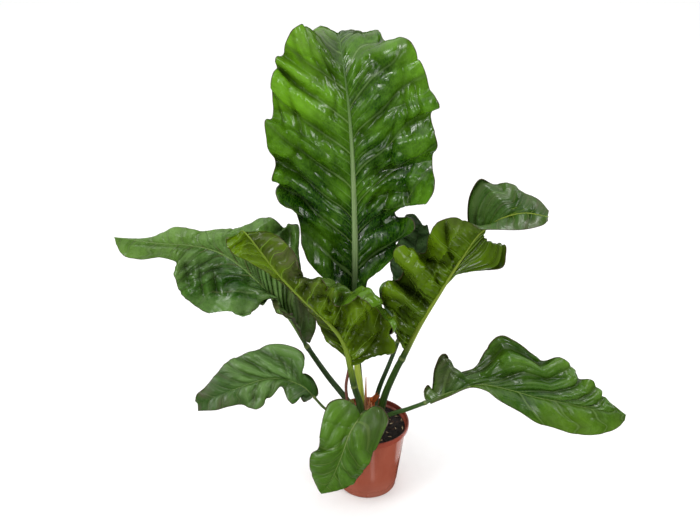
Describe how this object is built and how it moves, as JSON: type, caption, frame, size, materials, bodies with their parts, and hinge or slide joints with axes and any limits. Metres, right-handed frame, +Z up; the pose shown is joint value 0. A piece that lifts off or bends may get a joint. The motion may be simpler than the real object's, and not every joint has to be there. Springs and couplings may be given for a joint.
{
  "type": "potted leaf plant",
  "caption": "Tropical house plant with large glossy waved leaves on long stalks around a short stem, growing in soil in a round tapered nursery pot.",
  "frame": {"origin": "centre of the underside of the pot", "axes": "+Z up out of the pot; +X to the right and +Y away from the viewer of the picture"},
  "size_m": [1.0653, 0.3803, 1.061],
  "materials": {
    "pot_plastic": "moulded terracotta-coloured polypropylene, satin gloss",
    "soil": "moist peat and bark potting mix, rough",
    "dry_sheath": "dry fibrous leaf sheath",
    "young_shoot": "pale rolled young leaf, satin",
    "old_stalk": "dried leaf stalk",
    "leaf": "leathery living leaf, glossy above and dull below"
  },
  "bodies": {
    "root": {"pot": "pot_plastic", "soil": "soil", "stem": "dry_sheath", "young_shoot": "young_shoot", "old_stalk": "old_stalk", "leaf_upright": "leaf", "leaf_left": "leaf", "leaf_front_left": "leaf", "leaf_right": "leaf", "leaf_back": "leaf", "leaf_low_right": "leaf", "leaf_low_left": "leaf", "leaf_low_front": "leaf"}
  },
  "joints": []
}
